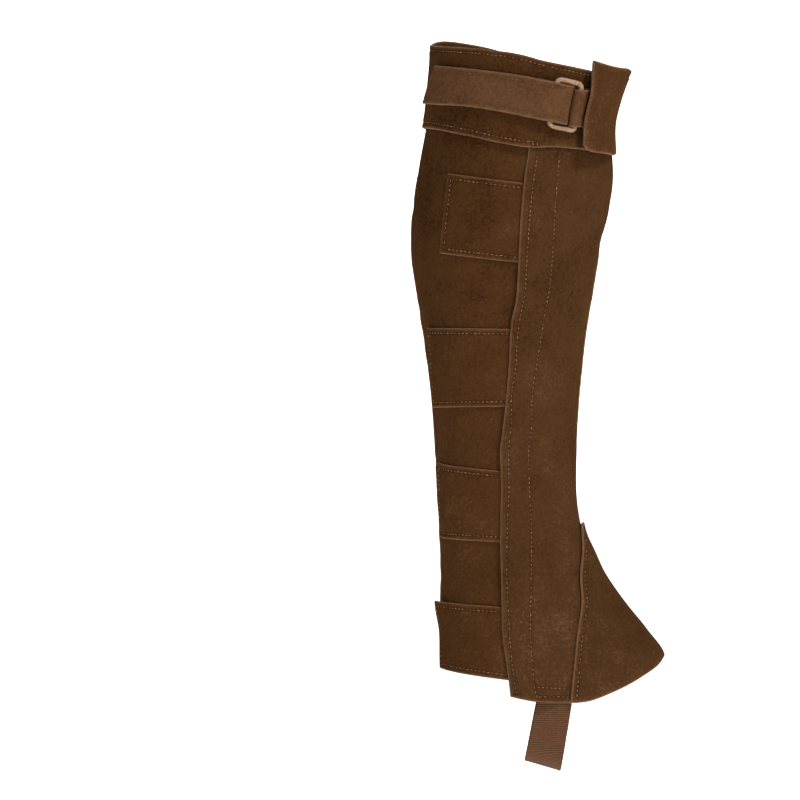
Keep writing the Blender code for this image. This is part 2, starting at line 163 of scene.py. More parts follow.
backHemLine = chart(
    "across height",
    [(-42.2, -268.5), (-39.7, -272), (-25, -275.4), (-12.8, -277.6), (2, -279.8), (20, -283)],
)
frontHemLine = chart("across height", [(3.2, -291.6), (10, -293.2), (18, -294.7), (30, -295.5), (52, -295.5)])
innerHemLine = chart(
    "across height",
    [
        (-42, -270.5), (-38, -273.8), (-25, -276), (-12.8, -278.2), (1, -280.4), (12, -288),
        (25, -294), (52, -295.7),
    ],
)
instepHemLine = chart(
    "turn height",
    [
        (0, -266), (10, -267.8), (19, -271.1), (34, -277.2), (49, -284.7), (61, -290.5),
        (71, -294.6), (82, -295.9),
    ],
)

clear = 0.4
seam = {"weltWall": 2.4, "gap": 0.4, "backTurn": 200.0}
flap = {
    "under": 17.0, "flat": 20.0, "down": 32.0, "rise": 4.0, "riseUnderBand": 2.2, "firstTabTop": 36.0,
    "bandZone": 48.0,
}


def form(turn, height):
    angle = math.radians(turn)
    point = legPoint(height)
    forward = (1 + math.cos(angle)) / 2
    side = math.sin(angle) * (1 - point * forward) / (1 - 0.45 * point)
    return Vector((mix(legBack(height), legFront(height), forward), -legDepth(height) * side, height))


def outward(turn, height):
    roundIt = form(turn + 0.6, height) - form(turn - 0.6, height)
    up = form(turn, height + 0.8) - form(turn, height - 0.8)
    return up.cross(roundIt).normalized()


def spot(turn, height, out=0.0):
    return form(turn, height) + outward(turn, height) * out


def turnAt(across, height, side=1):
    back, front = legBack(height), legFront(height)
    cosine = 2 * (across - back) / (front - back) - 1
    return side * math.degrees(math.acos(min(max(cosine, -1.0), 1.0)))


def degreesPerMm(turn, height):
    return 1 / (form(turn + 0.5, height) - form(turn - 0.5, height)).length


def moved(turn, height, distance):
    for _ in range(6):
        turn += distance / 6 * degreesPerMm(turn, height)
    return turn


def halfSeam(turn, height):
    return (seam["weltWall"] / 2 + seam["gap"]) * degreesPerMm(turn, height)


def frontPanelEdgeRaw(height):
    if height > -190:
        return frontSeamTurn(height) + halfSeam(frontSeamTurn(height), height)
    return underInstepTurn(height) + halfSeam(0, height)


def innerFrontEdgeRaw(height):
    turn = frontSeamTurn(height) - halfSeam(frontSeamTurn(height), height)
    return min(turn, -underInstepTurn(height)) if height < -190 else turn


flapEdge = overHeights(lambda z: turnAt(flapEdgeAcross(z), z))
flapUnder = overHeights(lambda z: moved(flapEdge(z), z, -flap["under"]))
backSeamEdge = overHeights(lambda z: seam["backTurn"] - halfSeam(seam["backTurn"], z))
innerBackEdge = overHeights(lambda z: seam["backTurn"] - 360 + halfSeam(seam["backTurn"], z))
frontPanelEdge = overHeights(frontPanelEdgeRaw)
innerFrontEdge = overHeights(innerFrontEdgeRaw)


def flapRise(turn, height):
    edge = flapEdge(height)
    distance = (edge - turn) / degreesPerMm((edge + turn) / 2, height)
    full = mix(flap["rise"], flap["riseUnderBand"], ease(flap["firstTabTop"], flap["bandZone"], height))
    return full * (1 - ease(flap["flat"], flap["down"], distance))


def hemByTurn(rows, side):
    pairs = sorted((turnAt(x, z, side), z) for x, z in zip(rows["across"], rows["height"]))
    line = chart("turn height", pairs)
    return lookup(lambda turn: read(line, "height", turn), -200.0, 220.0)


# soft troughs, listed one by one: turn, height, half length, half width, slant, depth
creases = [
    (112, 22, 17, 5.5, 12, 0.4), (150, -6, 14, 4.5, -8, 0.45), (128, -42, 22, 6, 6, 0.4),
    (160, -72, 12, 4, 18, 0.5), (118, -118, 19, 5, -14, 0.45), (171, -131, 15, 4, 9, 0.6),
    (140, -163, 24, 5.5, 5, 0.7), (105, -176, 11, 4, -20, 0.45), (166, -187, 18, 4.5, -6, 0.75),
    (132, -214, 16, 5, 14, 0.55), (46, -22, 20, 7, 68, 0.35), (38, -96, 26, 6.5, 74, 0.4),
    (30, -150, 15, 5, 24, 0.55), (52, -171, 19, 5.5, 38, 0.6), (70, -205, 15, 5, 52, 0.5),
    (62, -246, 17, 6.5, 66, 0.4), (14, 22, 14, 5.5, -10, 0.4), (-30, -38, 22, 6, 70, 0.35),
    (-48, -118, 15, 5, -16, 0.45), (-35, -166, 18, 4.5, -28, 0.65), (-62, -186, 26, 6, -12, 0.7),
    (-104, -196, 19, 5, 8, 0.6), (-138, -172, 22, 5.5, 15, 0.7), (-150, -142, 13, 4, -7, 0.5),
    (-128, -232, 17, 6.5, 20, 0.45), (-84, -248, 22, 7, -58, 0.45), (-145, -60, 17, 5.5, 10, 0.4),
    (-152, 18, 18, 6, -12, 0.45), (-112, 48, 15, 6.5, 5, 0.3), (184, -44, 17, 4.5, 3, 0.45),
    (186, -214, 14, 5, -8, 0.55), (22, -222, 17, 6, 60, 0.4), (-28, -236, 19, 6.5, -62, 0.4),
]


# how far the cloth lies off the plain form; every layer takes the same, so none cuts another
def relief(turn, height):
    place = form(turn, height)
    lift = 0.55 * noise.noise(place / 44.0) + 0.16 * noise.noise(place / 15.0 + Vector((7.3, 3.1, 1.9)))
    for at, up, long, wide, slant, depth in creases:
        high = height - up
        if abs(high) > 60:
            continue
        away = ((turn - at + 180) % 360 - 180) * 0.9
        lean = math.radians(slant)
        along = (away * math.cos(lean) + high * math.sin(lean)) / long
        aside = (high * math.cos(lean) - away * math.sin(lean)) / wide
        if abs(along) < 2.2 and abs(aside) < 3:
            lift -= depth * (1 - aside * aside) * math.exp(-along * along - 0.75 * aside * aside)
    return lift


# a place on the leg's cloth, and the same with the way it faces
def onLeg(turn, height, out):
    return spot(turn, height, out + relief(turn, height))


def facing(turn, height, out):
    return onLeg(turn, height, out), outward(turn, height)


edgeNear = (0.0, 0.35, 0.8, 1.4, 2.0, 2.6, 3.2, 3.8, 4.5, 5.4, 6.8, 9.0)


# places from 0 to 1 along a length, closer together near both of its ends
def paces(length, spacing, near=edgeNear):
    near = [d for d in near if d < length / 2 - 0.4]
    count = max(1, round((length - 2 * near[-1]) / spacing))
    middle = [mix(near[-1], length - near[-1], i / count) for i in range(1, count)]
    return [d / length for d in list(near) + middle + [length - d for d in reversed(near)]]


# a grid on the leg form between two side edges (by height) and a top and a bottom edge (by turn)
def laid(turns, top, bottom, out, acrossPaces, downPaces):
    start, end = turns
    grid = []
    for v in downPaces:
        line = []
        for u in acrossPaces:
            height = mix(top(0), bottom(0), v)
            for _ in range(6):
                turn = mix(start(height), end(height), u)
                height = mix(top(turn), bottom(turn), v)
            line.append(facing(turn, height, out(turn, height)))
        grid.append(line)
    return grid


# normals for a grid that doesn't lie on the form: down crossed with right
def withNormals(points):
    rows, columns = len(points), len(points[0])
    grid = []
    for j in range(rows):
        line = []
        for i in range(columns):
            down = points[min(j + 1, rows - 1)][i] - points[max(j - 1, 0)][i]
            right = points[j][min(i + 1, columns - 1)] - points[j][max(i - 1, 0)]
            line.append((points[j][i], down.cross(right).normalized()))
        grid.append(line)
    return grid


def sideOf(grid, side):
    if side == "left":
        return [line[0] for line in grid]
    if side == "right":
        return [line[-1] for line in grid]
    return list(grid[0]) if side == "top" else list(grid[-1])


# a line on the cloth at a set distance in from one of its edges
def edgeRow(grid, side, inset, skip=(0.0, 0.0)):
    edge = sideOf(grid, side)
    line = []
    for k in range(len(edge)):
        place, normal = edge[k]
        ahead = (edge[min(k + 1, len(edge) - 1)][0] - edge[max(k - 1, 0)][0]).normalized()
        inward = normal.cross(ahead) if side in ("left", "right") else ahead.cross(normal)
        line.append(place + inward * (inset if side in ("left", "top") else -inset) + normal * 1.5)
    return trimmed(line, *skip)


def lengths(line):
    total = [0.0]
    for a, b in zip(line, line[1:]):
        total.append(total[-1] + (b - a).length)
    return total


def alongLine(line, total, distance):
    k = min(max(bisect.bisect_right(total, distance) - 1, 0), len(line) - 2)
    span = total[k + 1] - total[k]
    return line[k].lerp(line[k + 1], (distance - total[k]) / span if span else 0.0)


def trimmed(line, start, end):
    total = lengths(line)
    low, high = start, total[-1] - end
    count = max(2, int((high - low) / 1.0))
    return [alongLine(line, total, mix(low, high, i / count)) for i in range(count + 1)]


def placed(name, data):
    thing = bpy.data.objects.new(name, data)
    bpy.context.scene.collection.objects.link(thing)
    return thing


def newMesh(name, points, faces):
    mesh = bpy.data.meshes.new(name)
    mesh.from_pydata([p * mm for p in points], [], faces)
    piece = placed(name, mesh)
    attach(piece, "root")
    return piece


# how the face of the cloth lies near its edge and near a row of stitches
def edgeShape(gap, worn):
    return -worn * max(0.0, 1 - gap / 0.9) ** 2


def rowShape(gap, depth):
    return -depth * math.exp(-((gap / 0.75) ** 2)) + 0.45 * depth * math.exp(-(((gap - 2.6) / 1.3) ** 2))


# a closed shell of cloth on a grid of its inner face, with its edges rounded and its rows sunk in
def makeCloth(name, grid, wall, looks, cut=(), rows=(), worn=0.4, sunk=0.3, shape=None):
    high, wide = len(grid), len(grid[0])
    flat = [(p, n) for line in grid for p, n in line]
    tops = [p + n * wall for p, n in flat]
    edges = [tops[j * wide + i] for j in range(high) for i in range(wide) if onSide(j, i, high, wide, cut)]
    edgeTree = treeOf(edges)
    surface = BVHTree.FromPolygons(tops, gridFaces(high, wide))
    laidRows = [[surface.find_nearest(p)[0] for p in row] for row in rows]
    rowTree = treeOf([p for row in laidRows for p in refined(row)])
    outer, inner, edgeGaps, rowGaps = [], [], [], []
    for k, (place, normal) in enumerate(flat):
        edgeGap = edgeTree.find(tops[k])[2] if edgeTree else 12.0
        rowGap = rowTree.find(tops[k])[2] if rowTree else 12.0
        lift = edgeShape(edgeGap, worn) + (rowShape(rowGap, sunk) if rowGap < 8 else 0.0)
        if shape:
            lift += shape(k // wide, k % wide, edgeGap)
        outer.append(tops[k] + normal * lift)
        inner.append(place + normal * (0.3 * wall * max(0.0, 1 - edgeGap / 0.6) ** 2))
        edgeGaps.append(min(edgeGap, 12.0))
        rowGaps.append(min(rowGap, 12.0))
    count = high * wide
    rim = rimOf(high, wide)
    middles = []
    for k in rim:
        within = neighbourInside(k, high, wide)
        away = (tops[k] - tops[within]).normalized()
        middles.append((outer[k] + inner[k]) / 2 + away * 0.22 * wall)
    points = outer + inner + middles
    faces = gridFaces(high, wide)
    backs = [(d + count, c + count, b + count, a + count) for a, b, c, d in faces]
    rims = []
    for m in range(len(rim)):
        a, b = rim[m], rim[(m + 1) % len(rim)]
        ma, mb = 2 * count + m, 2 * count + (m + 1) % len(rim)
        rims += [(a, b, mb, ma), (ma, mb, b + count, a + count)]
    piece = newMesh(name, points, faces + backs + rims)
    mesh = piece.data
    for look in looks:
        mesh.materials.append(look)
    mesh.polygons.foreach_set("material_index", [0] * (len(faces) * 2) + [len(looks) - 1] * len(rims))
    mesh.shade_smooth()
    mesh.set_sharp_from_angle(angle=math.radians(58))
    rimEdge = [0.0] * len(rim)
    writeValues(mesh, "edgeGap", edgeGaps * 2 + rimEdge)
    writeValues(mesh, "rowGap", rowGaps + [12.0] * (count + len(rim)))
    layUv(mesh, grid, high, wide, count, rim)
    skin = BVHTree.FromPolygons(outer, gridFaces(high, wide))
    return {"piece": piece, "rows": laidRows, "skin": skin, "area": areaOf(tops, high, wide)}


def gridFaces(high, wide):
    faces = []
    for j in range(high - 1):
        for i in range(wide - 1):
            a = j * wide + i
            faces.append((a, a + wide, a + wide + 1, a + 1))
    return faces


def onSide(j, i, high, wide, cut):
    return (
        ("top" in cut and j == 0)
        or ("bottom" in cut and j == high - 1)
        or ("left" in cut and i == 0)
        or ("right" in cut and i == wide - 1)
    )


# the grid's outline, in the order that turns its strip of faces outwards
def rimOf(high, wide):
    top = list(range(wide - 1))
    right = [j * wide + wide - 1 for j in range(high - 1)]
    bottom = [(high - 1) * wide + i for i in range(wide - 1, 0, -1)]
    left = [j * wide for j in range(high - 1, 0, -1)]
    return top + right + bottom + left


def neighbourInside(k, high, wide):
    j, i = divmod(k, wide)
    j += 1 if j == 0 else -1 if j == high - 1 else 0
    i += 1 if i == 0 else -1 if i == wide - 1 else 0
    return j * wide + i


def treeOf(points):
    if not points:
        return None
    tree = KDTree(len(points))
    for k, p in enumerate(points):
        tree.insert(p, k)
    tree.balance()
    return tree


def refined(line):
    finer = []
    for a, b in zip(line, line[1:]):
        if (b - a).length < 4:
            finer += [a, a.lerp(b, 0.5)]
    return finer + [line[-1]]


def areaOf(points, high, wide):
    total = 0.0
    for a, b, c, d in gridFaces(high, wide):
        total += (points[c] - points[a]).cross(points[d] - points[b]).length / 2
    return total


def writeValues(mesh, name, values):
    layer = mesh.attributes.new(name, "FLOAT", "POINT")
    layer.data.foreach_set("value", values)


# the cloth's own flat lay, in centimetres
def layUv(mesh, grid, high, wide, count, rim):
    spots = [None] * (2 * count + len(rim))
    across = [lengths([p for p, n in line]) for line in grid]
    down = [lengths([line[i][0] for line in grid]) for i in range(wide)]
    for j in range(high):
        for i in range(wide):
            spots[j * wide + i] = spots[j * wide + i + count] = (across[j][i] / 10, down[i][j] / 10)
    for m, k in enumerate(rim):
        spots[2 * count + m] = spots[k]
    layer = mesh.uv_layers.new(name="lay")
    for loop in mesh.loops:
        layer.data[loop.index].uv = spots[loop.vertex_index]


# hides the frame's node that a sheet of cloth replaces
def declareSheet(replaced):
    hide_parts(replaced)


stitch = {"long": 1.2, "wide": 0.33, "thick": 0.34, "pitch": 2.9, "turn": 13.0, "stand": 0.12}


def editAll():
    bpy.ops.object.mode_set(mode="EDIT")
    bpy.ops.mesh.select_all(action="SELECT")


# one stitch, modelled once
def modelStitch():
    bpy.ops.object.select_all(action="DESELECT")
    bpy.ops.mesh.primitive_uv_sphere_add(segments=6, ring_count=5, radius=1.0)
    thread = bpy.context.active_object
    editAll()
    bpy.ops.transform.rotate(value=math.pi / 2, orient_axis="Y", center_override=(0, 0, 0))
    bpy.ops.transform.resize(value=(stitch["long"], stitch["wide"], stitch["thick"]))
    bpy.ops.object.mode_set(mode="OBJECT")
    points = []
    for vertex in thread.data.vertices:
        p = vertex.co.copy()
        p.z -= 0.34 * (p.x / stitch["long"]) ** 2  # both ends go down into their holes
        points.append(p)
    faces = [tuple(face.vertices) for face in thread.data.polygons]
    bpy.data.objects.remove(thread, do_unlink=True)
    return points, faces


stitchPoints, stitchFaces = modelStitch()


# all the stitches of some rows, as one joined mesh on the cloth's skin
def sew(name, made, look, seed, rows=()):
    chance = random.Random(seed)
    points, faces = [], []
    for row in rows or made["rows"]:
        total = lengths(row)
        count = int(total[-1] / stitch["pitch"])
        for k in range(count):
            at = (k + 0.5) * total[-1] / count
            place, normal, _, _ = made["skin"].find_nearest(alongLine(row, total, at))
            ahead = alongLine(row, total, min(at + 1, total[-1])) - alongLine(row, total, max(at - 1, 0))
            ahead = (ahead - normal * ahead.dot(normal)).normalized()
            ahead = Matrix.Rotation(math.radians(chance.uniform(-1, 1) * stitch["turn"]), 3, normal) @ ahead
            aside = normal.cross(ahead)
            stretch = chance.uniform(0.68, 1.15)
            place = place + normal * (stitch["stand"] + chance.uniform(-0.16, 0.05))
            first = len(points)
            points += [place + ahead * (p.x * stretch) + aside * p.y + normal * p.z for p in stitchPoints]
            faces += [tuple(first + v for v in face) for face in stitchFaces]
    piece = newMesh(name, points, faces)
    piece.data.materials.append(look)
    piece.data.shade_smooth()


def linear(red, green, blue):
    steps = [c / 255 for c in (red, green, blue)]
    return (*[c / 12.92 if c < 0.04045 else ((c + 0.055) / 1.055) ** 2.4 for c in steps], 1.0)


def newGroup(name, inputs, outputs):
    tree = bpy.data.node_groups.new(name, "ShaderNodeTree")
    for way, labels in (("INPUT", inputs), ("OUTPUT", outputs)):
        for label in labels:
            kind = "Color" if label in ("Deep", "Middle", "Light", "Color") else "Float"
            tree.interface.new_socket(name=label, in_out=way, socket_type="NodeSocket" + kind)
    return tree, tree.nodes.new("NodeGroupInput").outputs, tree.nodes.new("NodeGroupOutput").inputs


def node(tree, kind, values=(), **settings):
    made = tree.nodes.new(kind)
    for key, value in settings.items():
        setattr(made, key, value)
    for socket, value in dict(values).items():
        made.inputs[socket].default_value = value
    return made


def link(tree, a, b):
    tree.links.new(a, b)


def mathNode(tree, operation, a, b):
    made = node(tree, "ShaderNodeMath", operation=operation)
    for slot, value in enumerate((a, b)):
        if isinstance(value, (int, float)):
            made.inputs[slot].default_value = value
        else:
            link(tree, value, made.inputs[slot])
    return made.outputs[0]


def times(tree, a, b):
    return mathNode(tree, "MULTIPLY", a, b)


def plus(tree, a, b):
    return mathNode(tree, "ADD", a, b)


# two values added, each with its own weight
def weighted(tree, a, weightA, b, weightB):
    return plus(tree, times(tree, a, weightA), times(tree, b, weightB))


def remap(tree, value, low, high, start=0.0, end=1.0):
    settings = {1: low, 2: high, 3: start, 4: end}
    made = node(tree, "ShaderNodeMapRange", settings, interpolation_type="SMOOTHSTEP")
    link(tree, value, made.inputs[0])
    return made.outputs[0]


def mixColour(tree, factor, a, b):
    made = node(tree, "ShaderNodeMix", data_type="RGBA")
    for socket, value in ((made.inputs[0], factor), (made.inputs[6], a), (made.inputs[7], b)):
        if isinstance(value, (int, float, tuple)):
            socket.default_value = value
        else:
            link(tree, value, socket)
    return made.outputs[2]


def noiseNode(tree, scale, detail=3.0, rough=0.5, distortion=0.0):
    place = node(tree, "ShaderNodeTexCoord")
    settings = {"Scale": scale, "Detail": detail, "Roughness": rough, "Distortion": distortion}
    made = node(tree, "ShaderNodeTexNoise", settings)
    link(tree, place.outputs["Object"], made.inputs["Vector"])
    return made.outputs["Fac"]


# napped hide: broad shading, soft patches, fine fibres, painted shade that is darker towards the top and
# paler low down, and, where asked, painted light paler towards the front
def makeNapAndShadeGroup():
    names = ("Deep", "Middle", "Light", "Fore")
    tree, given, leave = newGroup("suedeNapAndShade", names, ("Color", "Roughness", "Height"))
    broad = noiseNode(tree, 17.0, 3.0, 0.55, 0.3)
    patch = noiseNode(tree, 60.0, 3.0, 0.5)
    grain = noiseNode(tree, 480.0, 3.0, 0.6)
    fibre = noiseNode(tree, 1150.0, 2.0, 0.6)
    flecks = remap(tree, noiseNode(tree, 760.0, 2.0, 0.7), 0.6, 0.74)
    shading = plus(tree, weighted(tree, broad, 0.6, patch, 0.42), -0.51)
    fine = plus(tree, weighted(tree, grain, 0.95, fibre, 0.75), -0.85)
    fine = weighted(tree, fine, 0.75, flecks, 0.225)
    place = node(tree, "ShaderNodeTexCoord")
    parts = node(tree, "ShaderNodeSeparateXYZ")
    link(tree, place.outputs["Object"], parts.inputs[0])
    # painted shade: the tone is darker towards the top and paler low down
    paintedHeightShade = remap(tree, parts.outputs["Z"], -0.2, 0.07, 0.52, 0.385)  # paler low down
    # painted light: the tone is paler towards the front, by as much as the material asks
    fore = times(tree, remap(tree, parts.outputs["X"], 0.03, 0.055), given["Fore"])
    tone = plus(tree, plus(tree, shading, fine), plus(tree, paintedHeightShade, fore))
    dark = mixColour(tree, remap(tree, tone, 0.06, 0.5), given["Deep"], given["Middle"])
    link(tree, mixColour(tree, remap(tree, tone, 0.5, 0.95), dark, given["Light"]), leave["Color"])
    link(tree, remap(tree, tone, 0.2, 0.8, 0.98, 0.86), leave["Roughness"])
    height = weighted(tree, grain, 0.6, fibre, 0.5)
    link(tree, plus(tree, height, times(tree, patch, 0.8)), leave["Height"])
    return tree


# light, rubbed edges, and painted shade along a row of stitches where it is sunk in
def makeWearAndShadeGroup():
    tree, given, leave = newGroup("edgeWearAndRowShade", ("Edge Gap", "Row Gap"), ("Cut", "Rub", "Painted Row Shade"))
    uneven = noiseNode(tree, 330.0, 3.0, 0.6)
    reach = times(tree, plus(tree, uneven, 0.55), wearReach["cut"])
    cutting = mathNode(tree, "DIVIDE", given["Edge Gap"], reach)
    link(tree, remap(tree, cutting, 0.6, 1.3, 1.0, 0.0), leave["Cut"])
    rubbing = mathNode(tree, "DIVIDE", given["Edge Gap"], wearReach["rub"])
    broken = remap(tree, noiseNode(tree, 120.0, 4.0, 0.65), 0.35, 0.7)
    link(tree, times(tree, remap(tree, rubbing, 0.2, 1.4, 1.0, 0.0), broken), leave["Rub"])
    # painted shade along a row of stitches
    link(tree, remap(tree, given["Row Gap"], 0.35, 1.5, 1.0, 0.0), leave["Painted Row Shade"])
    return tree


wearReach = {"cut": 0.7, "rub": 3.0}
napAndShadeGroup, wearAndShadeGroup = makeNapAndShadeGroup(), makeWearAndShadeGroup()


def newMaterial(name, **constants):
    material = bpy.data.materials.new(name)
    material.use_nodes = True
    shader = material.node_tree.nodes["Principled BSDF"]
    for key, value in constants.items():
        shader.inputs[key].default_value = value
    return material, material.node_tree, shader


def placeGroup(tree, group, **values):
    made = node(tree, "ShaderNodeGroup", node_tree=group)
    for key, value in values.items():
        made.inputs[key].default_value = value
    return made


def dress(tree, shader, colour, rough, height, strength, distance):
    link(tree, colour, shader.inputs["Base Color"])
    link(tree, rough, shader.inputs["Roughness"])
    bump = node(tree, "ShaderNodeBump", {"Strength": strength, "Distance": distance})
    link(tree, height, bump.inputs["Height"])
    link(tree, bump.outputs["Normal"], shader.inputs["Normal"])


cutTan = linear(112, 78, 50)


def suedeMaterial(name, deep, middle, light, wear=0.7, fore=0.0, paintedRowShade=0.5):
    deep, middle, light = linear(*deep), linear(*middle), linear(*light)
    constants = {"Specular IOR Level": 0.0, "Sheen Weight": 0.03, "Sheen Roughness": 0.4}
    material, tree, shader = newMaterial(name, **constants)
    shader.inputs["Sheen Tint"].default_value = linear(176, 122, 78)
    napAndShade = placeGroup(tree, napAndShadeGroup, Deep=deep, Middle=middle, Light=light, Fore=fore)
    rub = placeGroup(tree, wearAndShadeGroup)
    for measured, socket in (("edgeGap", "Edge Gap"), ("rowGap", "Row Gap")):
        gap = node(tree, "ShaderNodeAttribute", attribute_name=measured)
        link(tree, gap.outputs["Fac"], rub.inputs[socket])
    colour = mixColour(tree, times(tree, rub.outputs["Rub"], 0.4 * wear), napAndShade.outputs["Color"], light)
    colour = mixColour(tree, times(tree, rub.outputs["Cut"], 0.6 * wear), colour, cutTan)
    # painted shade: darker along the sunk rows of stitches
    colour = mixColour(tree, times(tree, rub.outputs["Painted Row Shade"], paintedRowShade), colour, deep)
    dress(tree, shader, colour, napAndShade.outputs["Roughness"], napAndShade.outputs["Height"], 0.55, 0.0005)
    return material


edgeLook = {
    "shader": {"Specular IOR Level": 0.2, "Sheen Weight": 0.12}, "fine": (900.0, 4.0, 0.7),
    "broad": (90.0, 3.0, 0.6), "share": 0.6, "spread": (0.36, 0.64), "rough": (0.95, 0.82),
    "bump": (0.6, 0.0004),
}
threadLook = {
    "shader": {"Specular IOR Level": 0.1}, "fine": (2600.0, 2.0, 0.5), "broad": (260.0, 3.0, 0.6),
    "share": 0.25, "spread": (0.38, 0.62), "rough": (0.75, 0.6), "bump": (0.5, 0.0002),
}
loopLook = {
    "shader": {"Specular IOR Level": 0.35}, "fine": (420.0, 5.0, 0.7, 0.6), "broad": (60.0, 2.0),
    "share": 0.6, "spread": (0.35, 0.65), "rough": (0.38, 0.55), "bump": (0.2, 0.0002),
}


# fine and broad noise mixed: raw edges, thread and the coated loop
def mottledMaterial(name, look, dark, light):
    material, tree, shader = newMaterial(name, **look["shader"])
    fine, broad = noiseNode(tree, *look["fine"]), noiseNode(tree, *look["broad"])
    tone = weighted(tree, fine, look["share"], broad, 1 - look["share"])
    colour = mixColour(tree, remap(tree, tone, *look["spread"]), linear(*dark), linear(*light))
    roughBy = tone if look is edgeLook else fine
    dress(tree, shader, colour, remap(tree, roughBy, 0.3, 0.7, *look["rough"]), fine, *look["bump"])
    return material


# ribs run across the webbing; its lay is along u and across v, in centimetres
def webbingMaterial():
    material, tree, shader = newMaterial("webbing", **{"Specular IOR Level": 0.15, "Sheen Weight": 0.1})
    shader.inputs["Sheen Tint"].default_value = linear(186, 136, 96)
    lay = node(tree, "ShaderNodeUVMap", uv_map="lay")
    parts = node(tree, "ShaderNodeSeparateXYZ")
    link(tree, lay.outputs["UV"], parts.inputs[0])
    wobble = times(tree, plus(tree, noiseNode(tree, 160.0, 2.0), -0.5), 0.05)
    along = plus(tree, parts.outputs["X"], wobble)
    ribs = mathNode(tree, "SINE", times(tree, along, 2 * math.pi / 0.13), 0.0)
    cords = mathNode(tree, "SINE", times(tree, parts.outputs["Y"], 2 * math.pi / 0.09), 0.0)
    weave = plus(tree, weighted(tree, ribs, 0.36, cords, 0.12), 0.5)
    shade = plus(tree, weave, times(tree, noiseNode(tree, 700.0, 3.0, 0.7), 0.7))
    colour = mixColour(tree, remap(tree, shade, 0.4, 1.25), linear(46, 26, 12), linear(100, 66, 42))
    dress(tree, shader, colour, remap(tree, weave, 0.0, 1.0, 0.95, 0.75), weave, 0.8, 0.0004)
    return material


darkTones = ((42, 24, 10), (63, 40, 21))
darkSuede = suedeMaterial("darkSuede", *darkTones, (88, 60, 38), wear=0.6)
# the band's suede has painted light, paler towards the front
bandSuede = suedeMaterial("bandSuede", *darkTones, (92, 64, 42), wear=0.6, fore=0.15)
frontSuede = suedeMaterial("frontSuede", (42, 26, 12), (63, 41, 23), (88, 63, 41))
instepSuede = suedeMaterial("instepSuede", (40, 24, 11), (60, 39, 21), (86, 61, 40), wear=1.2)
strapSuede = suedeMaterial("strapSuede", (56, 36, 20), (81, 55, 36), (108, 80, 57), paintedRowShade=0.2)
rawEdge = mottledMaterial("rawEdge", edgeLook, (66, 41, 23), (112, 79, 53))
weltEdge = mottledMaterial("weltEdge", edgeLook, (80, 54, 35), (126, 94, 68))
thread = mottledMaterial("thread", threadLook, (70, 45, 27), (134, 100, 70))
strapThread = mottledMaterial("strapThread", threadLook, (62, 39, 22), (96, 67, 44))
webbing = webbingMaterial()
tanLoop = mottledMaterial("tanLoop", loopLook, (112, 84, 60), (158, 127, 99))
print("materials made")


panel = {"wall": 1.8, "spacing": 2.7, "downSpacing": 3.2}
backHem, frontHem = hemByTurn(backHemLine, 1), hemByTurn(frontHemLine, 1)
innerHem = hemByTurn(innerHemLine, -1)


def makeBackPanel():
    grid = laid(
        (backSeamEdge, flapUnder), panelTop, backHem, lambda turn, z: -panel["wall"],
        paces(150, panel["spacing"]), paces(400, panel["downSpacing"]),
    )
    looks = [darkSuede, rawEdge]
    made = makeCloth("backPanel", grid, panel["wall"], looks, cut=("bottom", "left"), worn=0.35)
    declareSheet("outer_back_panel")


# rows on the closing flap, seen square on from the outer side
placketRows = chart(
    "height first second",
    [
        (60, 19.9, 33.6), (52, 19.2, 33), (31, 16, 30.6), (-6, 12.8, 28.2), (-32, 11.2, 25.5),
        (-49, 8.3, 22.4), (-62, 6.6, 20.7), (-81, 5.6, 17.8), (-98, 3.2, 15.5), (-117, 3, 15.1),
        (-135, 1.6, 13.4), (-160, 1.7, 13.9), (-185, 0.8, 15.3), (-215, 0.7, 15.4), (-252, 2.6, 15.4),
        (-271, 4.2, 16.6), (-287, 6.2, 18.1), (-293, 7, 19.8),
    ],
)


# a line of points on the form, given as across and height on one side
def sideLine(pairs, side, out):
    line = []
    for across, height in pairs:
        turn = turnAt(across, height, side)
        line.append(onLeg(turn, height, out(turn, height)))
    return line


# places across and in height, evenly along a straight line
def straight(start, end, count):
    return [(mix(start[0], end[0], t / count), mix(start[1], end[1], t / count)) for t in range(count + 1)]


def heightsDown(top, bottom, pitch=1.5):
    count = int((top - bottom) / pitch)
    return [mix(top, bottom, i / count) for i in range(count + 1)]


def makeFrontPanel():
    def out(turn, z):
        return flapRise(turn, z) - panel["wall"]

    grid = laid(
        (flapEdge, frontPanelEdge), panelTop, frontHem, out, paces(118, 2.3),
        paces(400, panel["downSpacing"]),
    )
    rows = []
    for column, low in (("first", -290.5), ("second", -293.2)):
        places = [(read(placketRows, column, z), z) for z in heightsDown(57.0, low)]
        rows.append(sideLine(places, 1, flapRise))
    rows.append(sideLine(straight((19.0, -285.7), (44.6, -287.1), 20), 1, flapRise))
    rows.append(sideLine(straight((19.8, -291.9), (46.6, -291.9), 20), 1, flapRise))
    looks = [frontSuede, rawEdge]
    cut = ("left", "bottom", "right")
    made = makeCloth("frontPanel", grid, panel["wall"], looks, cut=cut, rows=rows, worn=0.35)
    declareSheet("outer_front_panel")
    sew("flapStitches", made, thread, seed=3)


def makeInnerPanel():
    grid = laid(
        (innerFrontEdge, innerBackEdge), lambda turn: panelTop(max(turn, -180)), innerHem,
        lambda turn, z: -panel["wall"], paces(142, panel["spacing"]), paces(400, panel["downSpacing"]),
    )
    rows = []
    for start, end in (((4.5, -286.0), (40.5, -286.6)), ((6.5, -289.2), (40.5, -291.8))):
        rows.append(sideLine(straight(start, end, 24), -1, lambda turn, z: 0.0))
    looks = [darkSuede, rawEdge]
    cut = ("left", "bottom", "right")
    made = makeCloth("innerPanel", grid, panel["wall"], looks, cut=cut, rows=rows[:1], worn=0.35)
    declareSheet("inner_panel")
    sew("innerHemStitches", made, thread, seed=5, rows=rows)


